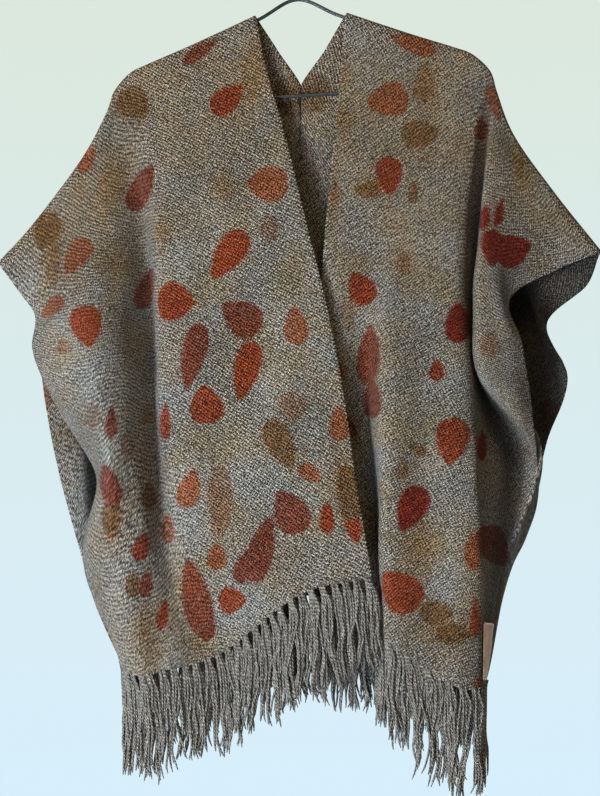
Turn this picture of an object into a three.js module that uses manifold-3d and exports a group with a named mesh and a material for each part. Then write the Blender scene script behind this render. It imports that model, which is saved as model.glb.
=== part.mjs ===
// A ruana wrap hung on a wire hanger: two woven lengths, joined down the centre back below a neck
// slit, open at the front, with a fringe at all four hems.
// Millimetres, +Z up, the front faces -Y, and +X is on the right as seen from the front.
// The origin is where the hook rests on what holds it.
import * as THREE from "three";
import { mergeVertices } from "three/addons/utils/BufferGeometryUtils.js";
import Module from "manifold-3d";

const wasm = await Module();
wasm.setup();

// Driving sizes
const CLOTH = { wall: 3, seamGap: 0.3 };
const WIRE = { radius: 2, clearance: 1.3 };
const HANGER = { apexX: -4, apexZ: -88, shoulderDrop: 92, tilt: 3.2, jointSwell: 1.05 };
const HOOK = { radius: 19, neck: 30, startAngle: -75, endAngle: 205, parts: 14 };
const TWIST = { turns: 3, parts: 8, reach: 3, start: 3, rise: 6 };
const FRINGE = { locks: 40, length: 118, strip: 6, rootDepth: 3, spread: 14, margin: 5 };
const LOCK_CHANCE = { length: 9, lean: 6 };
const LABEL = { thickness: 1.5, clearance: 0.7 };

// The turn of the cloth over the shoulder grows rounder past the end of the hanger's arm
const SHOULDER_TURN = { onArm: 4.2, onWing: 7, from: 150, to: 320 };

// Half the hanger's outline, from beside its apex to the end of the lower bar, before it is tilted
const HANGER_OUTLINE = [
  { out: 45, down: 20 },
  { out: 120, down: 50 },
  { out: 190, down: 77 },
  { out: 200, down: 84 },
  { out: 205, down: 96 },
  { out: 199, down: 105 },
  { out: 186, down: 109 },
];

// The shoulder fold of each length. It lies on the hanger's arm from the neck edge to the arm's end,
// and past that it droops, through the points listed, to the selvedge.
const ON_ARM = { from: 52, to: 193, points: 9 };
const LEFT_DROOP = [
  { across: 178, x: -211, z: -193 },
  { across: 200, x: -218, z: -213 },
  { across: 257, x: -242, z: -260 },
  { across: 319, x: -278, z: -311 },
  { across: 376, x: -313, z: -355 },
  { across: 420, x: -342, z: -386 },
];
const RIGHT_DROOP = [
  { across: 175, x: 214, z: -170 },
  { across: 197, x: 221, z: -192 },
  { across: 247, x: 239, z: -239 },
  { across: 327, x: 285, z: -305 },
  { across: 420, x: 340, z: -374 },
];

// Fold lines of each half, a row for each line of the cloth, from the neck edge out to the selvedge.
// x, y and z are read at seven stations, from just below the shoulder down to the hem.
const LEFT_FRONT = [
  {
    line: "neck edge",
    across: 0,
    x: [-41, -20, 4, 27, 46, 61, 78],
    y: [-9, -14, -22, -30, -38, -46, -52],
    z: [-162, -238, -336, -431, -529, -634, -738],
  },
  {
    line: "breast",
    across: 85,
    x: [-122, -107, -84, -62, -41, -19, 4],
    y: [-9, -14, -20, -27, -36, -46, -52],
    z: [-200, -275, -374, -470, -569, -675, -754],
  },
  {
    line: "body",
    across: 160,
    x: [-182, -163, -155, -151, -144, -124, -88],
    y: [-9, -13, -18, -22, -26, -30, -28],
    z: [-232, -306, -403, -500, -598, -708, -824],
  },
  {
    line: "valley",
    across: 200,
    x: [-203, -188, -181, -176, -168, -150, -119],
    y: [-5, 4, 11, 15, 15, 10, 0],
    z: [-259, -322, -415, -508, -605, -715, -836],
  },
  {
    line: "rise",
    across: 257,
    x: [-227, -212, -204, -199, -190, -174, -148],
    y: [-10, -20, -30, -36, -38, -40, -40],
    z: [-305, -360, -436, -520, -607, -709, -841],
  },
  {
    line: "crest",
    across: 319,
    x: [-265, -249, -238, -226, -213, -207, -172],
    y: [-14, -34, -46, -52, -50, -50, -46],
    z: [-362, -403, -454, -526, -606, -706, -847],
  },
  {
    line: "turn",
    across: 376,
    x: [-295, -277, -274, -253, -226, -232, -195],
    y: [-10, -22, -26, -24, -20, -22, -22],
    z: [-397, -430, -469, -537, -612, -711, -847],
  },
  {
    line: "selvedge",
    across: 420,
    x: [-318, -301, -305, -276, -234, -248, -205],
    y: [-3, 2, 8, 16, 20, 16, 6],
    z: [-420, -447, -485, -555, -628, -720, -841],
  },
];
const LEFT_BACK = [
  {
    line: "neck edge",
    across: 0,
    x: [-27, 5, 0, 0, 0, 0, 0],
    y: [7, 9, 13, 18, 22, 24, 24],
    z: [-145, -199, -291, -428, -565, -669, -763],
  },
  {
    line: "shoulder blade",
    across: 85,
    x: [-116, -103, -94, -91, -89, -87, -85],
    y: [8, 12, 18, 26, 32, 36, 38],
    z: [-194, -240, -338, -471, -606, -707, -806],
  },
  {
    line: "body",
    across: 160,
    x: [-191, -182, -173, -167, -163, -159, -154],
    y: [8, 12, 20, 30, 38, 42, 44],
    z: [-223, -270, -370, -505, -644, -745, -838],
  },
  {
    line: "valley",
    across: 200,
    x: [-207, -199, -191, -187, -182, -178, -174],
    y: [9, 17, 25, 31, 33, 33, 32],
    z: [-255, -300, -399, -529, -660, -755, -843],
  },
  {
    line: "crest",
    across: 300,
    x: [-257, -250, -242, -235, -228, -217, -194],
    y: [12, 26, 40, 54, 60, 62, 62],
    z: [-339, -384, -461, -577, -695, -783, -861],
  },
  {
    line: "turn",
    across: 370,
    x: [-294, -280, -265, -253, -244, -228, -199],
    y: [9, 20, 36, 50, 54, 54, 52],
    z: [-394, -441, -510, -601, -706, -784, -857],
  },
  {
    line: "selvedge",
    across: 420,
    x: [-313, -297, -294, -279, -256, -236, -205],
    y: [6, 12, 24, 38, 42, 44, 44],
    z: [-417, -457, -522, -615, -708, -782, -854],
  },
];
const RIGHT_FRONT = [
  {
    line: "neck edge",
    across: 0,
    x: [46, 38, 28, 19, 4, -18, -44],
    y: [-8, -11, -15, -18, -20, -22, -26],
    z: [-165, -252, -353, -450, -548, -648, -743],
  },
  {
    line: "under",
    across: 30,
    x: [73, 65, 56, 47, 41, 32, 19],
    y: [-9, -12, -16, -18, -18, -16, -22],
    z: [-172, -259, -359, -456, -556, -660, -763],
  },
  {
    line: "groove",
    across: 60,
    x: [103, 95, 87, 77, 75, 83, 83],
    y: [-9, -13, -17, -14, -4, 2, -6],
    z: [-183, -268, -366, -464, -565, -672, -781],
  },
  {
    line: "ridge",
    across: 90,
    x: [128, 118, 108, 97, 93, 93, 96],
    y: [-10, -15, -22, -34, -46, -52, -52],
    z: [-190, -275, -374, -473, -573, -686, -807],
  },
  {
    line: "body",
    across: 124,
    x: [159, 150, 142, 137, 137, 138, 142],
    y: [-10, -16, -22, -32, -42, -50, -54],
    z: [-201, -287, -387, -486, -587, -702, -843],
  },
  {
    line: "side",
    across: 152,
    x: [185, 178, 173, 175, 180, 182, 177],
    y: [-11, -16, -20, -32, -44, -52, -56],
    z: [-213, -297, -397, -500, -603, -719, -859],
  },
  {
    line: "fold",
    across: 175,
    x: [200, 191, 185, 191, 196, 198, 197],
    y: [-6, -1, 4, -25, -42, -48, -50],
    z: [-227, -308, -411, -525, -625, -736, -862],
  },
  {
    line: "gutter",
    across: 197,
    x: [211, 206, 205, 213, 219, 213, 201],
    y: [-2, 10, 17, 16, -2, -22, -30],
    z: [-241, -322, -428, -536, -626, -746, -864],
  },
  {
    line: "flap",
    across: 247,
    x: [210, 200, 195, 210, 230, 222, 205],
    y: [-20, -32, -38, -36, 8, -4, -12],
    z: [-267, -350, -455, -535, -618, -748, -865],
  },
  {
    line: "wing",
    across: 327,
    x: [256, 221, 222, 238, 254, 230, 208],
    y: [-14, -22, -28, -28, 16, 14, 4],
    z: [-330, -389, -471, -562, -640, -756, -865],
  },
  {
    line: "selvedge",
    across: 420,
    x: [294, 234, 246, 262, 270, 235, 210],
    y: [-4, -10, -12, -12, 26, 28, 18],
    z: [-392, -429, -484, -580, -657, -759, -864],
  },
];
const RIGHT_BACK = [
  {
    line: "neck edge",
    across: 0,
    x: [29, -5, 0, 0, 0, 0, 0],
    y: [7, 9, 13, 18, 22, 24, 24],
    z: [-143, -199, -291, -428, -565, -669, -763],
  },
  {
    line: "shoulder blade",
    across: 80,
    x: [116, 104, 94, 91, 89, 87, 85],
    y: [8, 12, 18, 26, 32, 36, 38],
    z: [-178, -225, -327, -462, -600, -704, -799],
  },
  {
    line: "body",
    across: 157,
    x: [193, 182, 173, 167, 163, 159, 154],
    y: [8, 12, 20, 30, 38, 42, 44],
    z: [-207, -257, -359, -496, -637, -742, -830],
  },
  {
    line: "valley",
    across: 197,
    x: [211, 202, 194, 189, 185, 179, 170],
    y: [9, 18, 28, 32, 30, 26, 26],
    z: [-235, -284, -386, -519, -655, -752, -837],
  },
  {
    line: "crest",
    across: 300,
    x: [259, 252, 245, 237, 229, 218, 199],
    y: [12, 26, 40, 54, 60, 62, 62],
    z: [-325, -363, -447, -570, -688, -777, -852],
  },
  {
    line: "turn",
    across: 370,
    x: [295, 274, 276, 266, 249, 226, 202],
    y: [9, 20, 34, 48, 54, 54, 52],
    z: [-385, -425, -487, -584, -694, -776, -850],
  },
  {
    line: "selvedge",
    across: 420,
    x: [327, 287, 307, 282, 258, 232, 206],
    y: [6, 12, 24, 36, 42, 44, 44],
    z: [-409, -453, -517, -594, -693, -771, -850],
  },
];
const STATIONS = LEFT_FRONT[0].x.length;
const SEAM_REACH = 0.4;
const OVER_ARM_END = [155, 168, 190];

// Sizes of a fringe lock at shares of its length, and the label's place on the right front, in
// spans up from the hem and widths across from the neck edge
const LOCK_SECTIONS = [
  { at: 0, wide: 2.6, deep: 2.4 },
  { at: 0.25, wide: 4.8, deep: 3.6 },
  { at: 0.7, wide: 4.4, deep: 3.4 },
  { at: 1, wide: 1.8, deep: 1.8 },
];
const LABEL_SPANS = [0.08, 0.18, 0.28, 0.38, 0.48, 0.58];
const LABEL_WIDTHS = [182, 188, 194, 200, 206];

// Colours of the yarns, the leather and the coated wire
const WOOL = new THREE.MeshStandardMaterial({ color: 0x7d7364, roughness: 0.95, metalness: 0 });
const YARN = new THREE.MeshStandardMaterial({ color: 0x857b6c, roughness: 0.95, metalness: 0 });
const LEATHER = new THREE.MeshStandardMaterial({ color: 0xc2a287, roughness: 0.6, metalness: 0 });
const COATING = new THREE.MeshStandardMaterial({ color: 0x2c3330, roughness: 0.45, metalness: 0.1 });

// Curves
const vec = (x, y, z) => new THREE.Vector3(x, y, z);
const spline = (points) => new THREE.CatmullRomCurve3(points, false, "centripetal");
const between = (a, b, f) => a + (b - a) * f;

// Where a width across the cloth falls among the lines of a table, as a place along their spline
function placeAmong(rows, across) {
  const last = rows.length - 1;
  let gap = 0;
  while (gap < last - 1 && across > rows[gap + 1].across) gap += 1;
  const from = rows[gap].across;
  return (gap + (across - from) / (rows[gap + 1].across - from)) / last;
}

// The hanger's outline after the tilt, from the tip of one side to the other
const tilt = THREE.MathUtils.degToRad(HANGER.tilt);
function tilted(out, down) {
  const x = out * Math.cos(tilt) + down * Math.sin(tilt) + HANGER.apexX;
  return vec(x, 0, out * Math.sin(tilt) - down * Math.cos(tilt) + HANGER.apexZ);
}
const apex = tilted(0, 0);
const rightSide = HANGER_OUTLINE.map(({ out, down }) => tilted(out, down));
const leftSide = HANGER_OUTLINE.map(({ out, down }) => tilted(-out, down));
const frameLoop = spline([...leftSide.toReversed(), apex, ...rightSide]);

// The shoulder fold over an arm: points of the cloth's middle, just clear of the wire
function foldOnArm(side) {
  const wire = frameLoop.getPoints(400);
  const lowest = HANGER.apexZ - HANGER.shoulderDrop;
  const onTop = (k) => wire[k].z > lowest && wire[k].x > wire[k - 1].x;
  const fold = [];
  for (let i = 0; i < ON_ARM.points; i += 1) {
    const x = side * between(ON_ARM.from, ON_ARM.to, i / (ON_ARM.points - 1));
    const at = wire.findIndex((p, k) => k > 0 && p.x >= x && onTop(k));
    const [a, b] = [wire[at - 1], wire[at]];
    const slope = (b.z - a.z) / (b.x - a.x);
    const rise = (WIRE.radius + WIRE.clearance + CLOTH.wall / 2) * Math.hypot(1, slope);
    const z = a.z + (x - a.x) * slope + rise;
    const before = fold.at(-1);
    fold.push({ across: before ? before.across + Math.hypot(x - before.x, z - before.z) : 0, x, z });
  }
  return fold;
}

// One woven length: its middle surface, as a function of the width across and a place along it
function makeLength(side, droop, front, back) {
  const shoulder = [...foldOnArm(side), ...droop];
  const top = spline(shoulder.map(({ x, z }) => vec(x, 0, z)));
  const curveAt = (half, k) => spline(half.map((row) => vec(row.x[k], row.y[k], row.z[k])));
  const curvesOf = (half) => Array.from({ length: STATIONS }, (_, k) => curveAt(half, k));
  const frontCurves = curvesOf(front);
  const backCurves = curvesOf(back);
  return function along(across) {
    const ridge = top.getPoint(placeAmong(shoulder, across));
    const fall = (half, curves, side) => {
      const down = curves.map((curve) => curve.getPoint(placeAmong(half, across)));
      const away = down[0].clone().sub(ridge).setY(0).normalize();
      const onWing = THREE.MathUtils.smoothstep(across, SHOULDER_TURN.from, SHOULDER_TURN.to);
      const radius = between(SHOULDER_TURN.onArm, SHOULDER_TURN.onWing, onWing);
      const turn = (angle) =>
        ridge
          .clone()
          .addScaledVector(away, radius * (1 - Math.cos(angle)))
          .add(vec(0, side * radius * Math.sin(angle), 0));
      return [turn(Math.PI / 4), turn(Math.PI / 2), ...down];
    };
    return spline([...fall(front, frontCurves, -1).reverse(), ridge, ...fall(back, backCurves, 1)]);
  };
}
const SPANS = 2 * (STATIONS + 2);

// Below the neck slit the back edges meet at the seam and never cross it
function heldAtSeam(point, side) {
  if (point.y > 0 && side * point.x < SEAM_REACH) point.x = side * SEAM_REACH;
  return point;
}

// Rows of points over a length, from the front hem over the shoulder to the back hem
function gridOf(along, lines, side) {
  const steps = [];
  for (let span = 0; span < SPANS; span += 1) {
    const onTurn = span >= STATIONS && span < SPANS - STATIONS;
    const nextToTurn = span === STATIONS - 1 || span === SPANS - STATIONS;
    const parts = onTurn ? 1 : nextToTurn || span > STATIONS ? 2 : 3;
    for (let i = 0; i < parts; i += 1) steps.push((span + i / parts) / SPANS);
  }
  steps.push(1);
  const halves = lines.slice(1).map((row, i) => between(lines[i].across, row.across, 0.5));
  const columns = [...lines.map((row) => row.across), ...halves, ...OVER_ARM_END].sort((a, b) => a - b);
  const curves = columns.map((across) => along(across));
  return steps.map((step) => curves.map((curve) => heldAtSeam(curve.getPoint(step), side)));
}

// Direction across the cloth's wall at each point of a grid
function normalsOf(grid) {
  const held = (index, list) => list[Math.min(Math.max(index, 0), list.length - 1)];
  const pick = (r, c) => held(c, held(r, grid));
  return grid.map((row, r) =>
    row.map((_, c) => {
      const lengthwise = pick(r + 1, c).clone().sub(pick(r - 1, c));
      const crosswise = pick(r, c + 1).clone().sub(pick(r, c - 1));
      return lengthwise.cross(crosswise).normalize();
    }),
  );
}

// Closed geometry from points and faces, turned so that its faces point out
function closedGeometry(points, faces) {
  let volume = 0;
  for (const [a, b, c] of faces) volume += points[a].dot(points[b].clone().cross(points[c]));
  const geometry = new THREE.BufferGeometry();
  const numbers = points.flatMap((p) => [p.x, p.y, p.z]);
  geometry.setAttribute("position", new THREE.Float32BufferAttribute(numbers, 3));
  geometry.setIndex(faces.flatMap(([a, b, c]) => (volume < 0 ? [a, c, b] : [a, b, c])));
  return geometry;
}

// A wall of even thickness on both sides of a grid
function wallOf(grid, normals, thickness, lift = 0) {
  const rows = grid.length;
  const columns = grid[0].length;
  const face = (by) =>
    grid.flatMap((row, r) => row.map((p, c) => p.clone().addScaledVector(normals[r][c], by)));
  const points = [...face(lift + thickness / 2), ...face(lift - thickness / 2)];
  const outer = (r, c) => r * columns + c;
  const inner = (r, c) => outer(r, c) + rows * columns;
  const faces = [];
  const quad = (a, b, c, d) => faces.push([a, b, c], [a, c, d]);
  for (let r = 0; r < rows - 1; r += 1) {
    for (let c = 0; c < columns - 1; c += 1) {
      quad(outer(r, c), outer(r + 1, c), outer(r + 1, c + 1), outer(r, c + 1));
      quad(inner(r, c), inner(r, c + 1), inner(r + 1, c + 1), inner(r + 1, c));
    }
    quad(outer(r, 0), inner(r, 0), inner(r + 1, 0), outer(r + 1, 0));
    const c = columns - 1;
    quad(outer(r, c), outer(r + 1, c), inner(r + 1, c), inner(r, c));
  }
  for (let c = 0; c < columns - 1; c += 1) {
    quad(outer(0, c), outer(0, c + 1), inner(0, c + 1), inner(0, c));
    quad(outer(rows - 1, c), inner(rows - 1, c), inner(rows - 1, c + 1), outer(rows - 1, c + 1));
  }
  return closedGeometry(points, faces);
}

// Solids to join
function solidOf(geometry) {
  const bare = geometry.clone();
  bare.deleteAttribute("normal");
  bare.deleteAttribute("uv");
  const merged = mergeVertices(bare, 1e-4);
  const vertProperties = new Float32Array(merged.attributes.position.array);
  const triVerts = new Uint32Array(merged.index.array);
  return new wasm.Manifold(new wasm.Mesh({ numProp: 3, vertProperties, triVerts }));
}
function geometryOf(solid) {
  const { vertProperties, triVerts } = solid.getMesh();
  const geometry = new THREE.BufferGeometry();
  geometry.setAttribute("position", new THREE.BufferAttribute(vertProperties, 3));
  geometry.setIndex(new THREE.BufferAttribute(triVerts, 1));
  return geometry;
}
const joined = (geometries) => geometryOf(wasm.Manifold.union(geometries.map(solidOf)));

// A repeatable fraction from 0 to 1 for each lock of a fringe
function chance(index, seed) {
  const value = Math.sin(index * 12.9898 + seed * 78.233) * 43758.5453;
  return value - Math.floor(value);
}

// A lock of yarns, four-sided, swelling below its root and thin at its tip
function lockOf(root, outward, crosswise, normal, index) {
  const length = FRINGE.length + LOCK_CHANCE.length * (2 * chance(index, 1) - 1);
  const lean = LOCK_CHANCE.lean * (chance(index, 2) - 0.5);
  const points = LOCK_SECTIONS.flatMap(({ at, wide, deep }) => {
    const run = at * length;
    const stiff = FRINGE.spread * (1 - Math.exp(-run / FRINGE.spread));
    const centre = root.clone().addScaledVector(outward, stiff).add(vec(0, 0, stiff - run));
    centre.addScaledVector(crosswise, lean * at * at);
    const corner = (a, b) => centre.clone().addScaledVector(crosswise, a).addScaledVector(normal, b);
    const [halfWide, halfDeep] = [wide / 2, deep / 2];
    return [
      corner(-halfWide, -halfDeep),
      corner(halfWide, -halfDeep),
      corner(halfWide, halfDeep),
      corner(-halfWide, halfDeep),
    ];
  });
  const faces = [[0, 1, 2], [0, 2, 3]];
  for (let s = 0; s < LOCK_SECTIONS.length - 1; s += 1) {
    for (let k = 0; k < 4; k += 1) {
      const [a, b] = [4 * s + k, 4 * s + ((k + 1) % 4)];
      faces.push([a, a + 4, b + 4], [a, b + 4, b]);
    }
  }
  const end = 4 * (LOCK_SECTIONS.length - 1);
  faces.push([end, end + 2, end + 1], [end, end + 3, end + 2]);
  return closedGeometry(points, faces);
}

// The fringe below one hem: a narrow strip just clear of the cloth's edge, and its locks
function fringeOf(grid, normals, hem, before) {
  const edge = grid[hem];
  const fall = edge.map((p, c) => p.clone().sub(grid[before][c]).normalize());
  const shifted = (by) => edge.map((p, c) => p.clone().addScaledVector(fall[c], by));
  const strip = [shifted(CLOTH.seamGap), shifted(CLOTH.seamGap + FRINGE.strip)];
  const pieces = [wallOf(strip, [normals[hem], normals[hem]], CLOTH.wall)];
  const run = [0];
  for (let c = 1; c < edge.length; c += 1) run.push(run[c - 1] + edge[c].distanceTo(edge[c - 1]));
  for (let i = 0; i < FRINGE.locks; i += 1) {
    const goal = between(FRINGE.margin, run.at(-1) - FRINGE.margin, i / (FRINGE.locks - 1));
    let c = 0;
    while (run[c + 1] < goal) c += 1;
    const f = (goal - run[c]) / (run[c + 1] - run[c]);
    const blend = (list) => list[c].clone().lerp(list[c + 1], f);
    const outward = blend(fall).normalize();
    const root = blend(edge).addScaledVector(outward, CLOTH.seamGap + FRINGE.rootDepth);
    const crosswise = edge[c + 1].clone().sub(edge[c]).setZ(0).normalize();
    const normal = vec(0, 0, 1).cross(crosswise).normalize();
    pieces.push(lockOf(root, outward, crosswise, normal, i));
  }
  return joined(pieces);
}

// The leather label, laid outside the outer strip of the right front, from that length's own points
function labelOf(along) {
  const rowAt = (span) => LABEL_WIDTHS.map((across) => along(across).getPoint(span / SPANS));
  const grid = LABEL_SPANS.map(rowAt);
  const lift = CLOTH.wall / 2 + LABEL.clearance + LABEL.thickness / 2;
  return wallOf(grid, normalsOf(grid), LABEL.thickness, -lift);
}

// Round wire along a path
function wireAlong(path, steps) {
  const section = new THREE.Shape();
  section.absarc(0, 0, WIRE.radius, 0, 2 * Math.PI);
  const options = { steps, curveSegments: 4, bevelEnabled: false, extrudePath: path };
  return new THREE.ExtrudeGeometry(section, options);
}

// The hanger: its frame, the hook and the twist that closes the frame under the hook
function hangerGeometry() {
  const bar = spline([leftSide.at(-1), rightSide.at(-1)]);
  const arc = Array.from({ length: HOOK.parts + 1 }, (_, i) => {
    const angle = THREE.MathUtils.degToRad(between(HOOK.startAngle, HOOK.endAngle, i / HOOK.parts));
    const z = WIRE.radius - HOOK.radius + HOOK.radius * Math.sin(angle);
    return vec(HOOK.radius * Math.cos(angle), 0, z);
  });
  const stem = [vec(apex.x, 0, apex.z - 1), vec(apex.x, 0, apex.z + HOOK.neck)];
  const hook = spline([...stem, ...arc]);
  const twist = Array.from({ length: TWIST.parts * TWIST.turns + 1 }, (_, i) => {
    const turn = i / TWIST.parts;
    const [x, y] = [Math.cos(2 * Math.PI * turn), Math.sin(2 * Math.PI * turn)];
    return vec(apex.x + TWIST.reach * x, TWIST.reach * y, apex.z + TWIST.start + TWIST.rise * turn);
  });
  const knuckles = [arc.at(-1), leftSide.at(-1), rightSide.at(-1)].map((p) =>
    new THREE.SphereGeometry(WIRE.radius * HANGER.jointSwell, 10, 6).translate(p.x, p.y, p.z),
  );
  const wires = [
    wireAlong(frameLoop, 48),
    wireAlong(bar, 1),
    wireAlong(hook, 26),
    wireAlong(spline(twist), TWIST.parts * TWIST.turns),
  ];
  return joined([...wires, ...knuckles]);
}

// The object
const wrap = new THREE.Group();
function add(name, geometry, material) {
  geometry.computeVertexNormals();
  const mesh = new THREE.Mesh(geometry, material);
  mesh.name = name;
  wrap.add(mesh);
}

const leftLength = makeLength(-1, LEFT_DROOP, LEFT_FRONT, LEFT_BACK);
const rightLength = makeLength(1, RIGHT_DROOP, RIGHT_FRONT, RIGHT_BACK);
const lengths = [
  { name: "left", side: -1, along: leftLength, lines: LEFT_FRONT },
  { name: "right", side: 1, along: rightLength, lines: RIGHT_FRONT },
];
for (const { name, side, along, lines } of lengths) {
  const grid = gridOf(along, lines, side);
  const normals = normalsOf(grid);
  const last = grid.length - 1;
  add("panel_" + name, wallOf(grid, normals, CLOTH.wall), WOOL);
  add("fringe_front_" + name, fringeOf(grid, normals, 0, 1), YARN);
  add("fringe_back_" + name, fringeOf(grid, normals, last, last - 1), YARN);
}
add("label", labelOf(rightLength), LEATHER);
add("hanger", hangerGeometry(), COATING);

export default wrap;
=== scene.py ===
# A ruana wrap of mottled handwoven wool with leaf prints, hung on a coated wire hanger.
# The surfaces are worked out in millimetres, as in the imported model, and stored in metres.
import math
from types import SimpleNamespace as Named

import bpy
import numpy as np
from numpy.linalg import norm
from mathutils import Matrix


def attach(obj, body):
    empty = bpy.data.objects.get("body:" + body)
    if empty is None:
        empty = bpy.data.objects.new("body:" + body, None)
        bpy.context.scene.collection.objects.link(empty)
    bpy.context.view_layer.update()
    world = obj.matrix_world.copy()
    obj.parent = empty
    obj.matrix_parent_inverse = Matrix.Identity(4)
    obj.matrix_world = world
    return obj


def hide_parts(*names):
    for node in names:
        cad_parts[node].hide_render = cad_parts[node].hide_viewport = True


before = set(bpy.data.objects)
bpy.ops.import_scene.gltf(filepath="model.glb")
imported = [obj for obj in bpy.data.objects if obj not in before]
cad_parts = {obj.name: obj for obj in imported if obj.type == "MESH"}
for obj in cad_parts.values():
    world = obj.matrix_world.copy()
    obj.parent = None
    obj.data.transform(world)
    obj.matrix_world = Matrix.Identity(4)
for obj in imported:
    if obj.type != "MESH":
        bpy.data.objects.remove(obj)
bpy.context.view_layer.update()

# Sizes are in mm and angles in degrees, unless a comment says otherwise
MM = 0.001
TINY = 1e-9
# The wall of the cloth here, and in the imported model, which sets how high the fold lies
CLOTH_WALL = 2.6
SOLID_WALL = 3.0
# How far the grid's columns stand apart at most, and how near the back is to the centre seam
EVEN_STEP = 4.6
SEAM_REACH = 0.4
# Rows between two stations: on the turn over the wire, just beside it, and on the fall
ROWS = Named(turn=2, beside=12, fall=24)
# The round of the shoulder fold, which opens from the arm out to the wing's tip
FOLD_ROUND = Named(radius=4.2, opening=2.8, across=(150, 320))
WIRE = Named(radius=2.0, clearance=1.3, sides=14)
HANGER = Named(apex_x=-4.0, apex_z=-88.0, shoulder_drop=92.0, tilt=3.2)
HOOK = Named(radius=19.0, neck=30.0, first_angle=-75.0, tail_angle=115.0)
# The twist round the hook's stem, with its reach in radii of the wire
TWIST = Named(turns=3, pitch=6.0, lift=3.0, reach=1.5, sides=12)
# Where the shoulder fold lies on the hanger's arm, from the middle outwards
ON_ARM = Named(start=52.0, end=193.0, points=9, wire_points=401)
# The leather tab: its span of rows from the hem, its span across the cloth, and its points each way
LABEL = Named(rows=(0.08, 0.58), across=(182, 206), points=(28, 12), thickness=1.5, lift=1.4)

# Half the hanger's outline, (out, down) from its apex to the lower bar, before its tilt
HANGER_OUTLINE = [(0, 0), (45, 20), (120, 50), (190, 77), (200, 84), (205, 96), (199, 105), (186, 109)]

# Where each length's shoulder fold droops past the arm: (across, x, z)
LEFT_DROOP = [(178, -211, -193), (200, -218, -213), (257, -242, -260), (319, -278, -311), (376, -313, -355),
              (420, -342, -386)]
RIGHT_DROOP = [(175, 214, -170), (197, 221, -192), (247, 239, -239), (327, 285, -305), (420, 340, -374)]

# Fold lines, neck edge to selvedge: name, width across, and x, y and z at the stations down to the hem
LEFT_FRONT = [
    ("neck", 0, [-41, -20, 4, 27, 46, 61, 78], [-9, -14, -22, -30, -38, -46, -52],
     [-162, -238, -336, -431, -529, -634, -738]),
    ("breast", 85, [-122, -107, -84, -62, -41, -19, 4], [-9, -14, -20, -27, -36, -46, -52],
     [-200, -275, -374, -470, -569, -675, -754]),
    ("body", 160, [-182, -164, -158, -156, -149, -124, -88], [-9, -14, -20, -25, -28, -30, -28],
     [-232, -306, -403, -500, -598, -708, -824]),
    ("valley", 200, [-203, -182, -170, -167, -163, -150, -119], [-5, 3, 9, 11, 2, -18, -32],
     [-259, -322, -415, -508, -605, -715, -836]),
    ("rise", 257, [-227, -212, -204, -199, -190, -174, -148], [-10, -20, -30, -36, -38, -40, -40],
     [-305, -360, -436, -520, -607, -709, -841]),
    ("crest", 319, [-265, -249, -238, -226, -213, -207, -172], [-14, -34, -46, -52, -50, -50, -46],
     [-362, -403, -454, -526, -606, -706, -847]),
    ("turn", 376, [-295, -277, -274, -253, -226, -232, -195], [-10, -22, -26, -24, -20, -22, -22],
     [-397, -430, -469, -537, -612, -711, -847]),
    ("selvedge", 420, [-318, -301, -305, -276, -234, -248, -205], [-3, 2, 8, 16, 20, 16, 6],
     [-420, -447, -485, -555, -628, -720, -841]),
]
LEFT_BACK = [
    ("neck", 0, [-27, 5, 0, 0, 0, 0, 0], [7, 9, 13, 18, 22, 24, 24],
     [-145, -199, -291, -428, -565, -669, -763]),
    ("blade", 85, [-116, -103, -94, -91, -89, -87, -85], [8, 12, 18, 26, 32, 36, 38],
     [-194, -240, -338, -471, -606, -707, -806]),
    ("body", 160, [-191, -182, -173, -167, -163, -159, -154], [8, 12, 20, 30, 38, 42, 44],
     [-223, -270, -370, -505, -644, -745, -838]),
    ("valley", 200, [-207, -199, -191, -187, -182, -178, -174], [9, 17, 25, 31, 33, 33, 32],
     [-255, -300, -399, -529, -660, -755, -843]),
    ("crest", 300, [-257, -250, -242, -235, -228, -217, -194], [12, 26, 40, 54, 60, 62, 62],
     [-339, -384, -461, -577, -695, -783, -861]),
    ("turn", 370, [-294, -280, -265, -253, -244, -228, -199], [9, 12, 18, 24, 34, 46, 50],
     [-394, -441, -510, -601, -706, -784, -857]),
    ("selvedge", 420, [-313, -297, -294, -279, -256, -236, -205], [6, 8, 12, 20, 30, 40, 44],
     [-417, -457, -522, -615, -708, -782, -854]),
]
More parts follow.
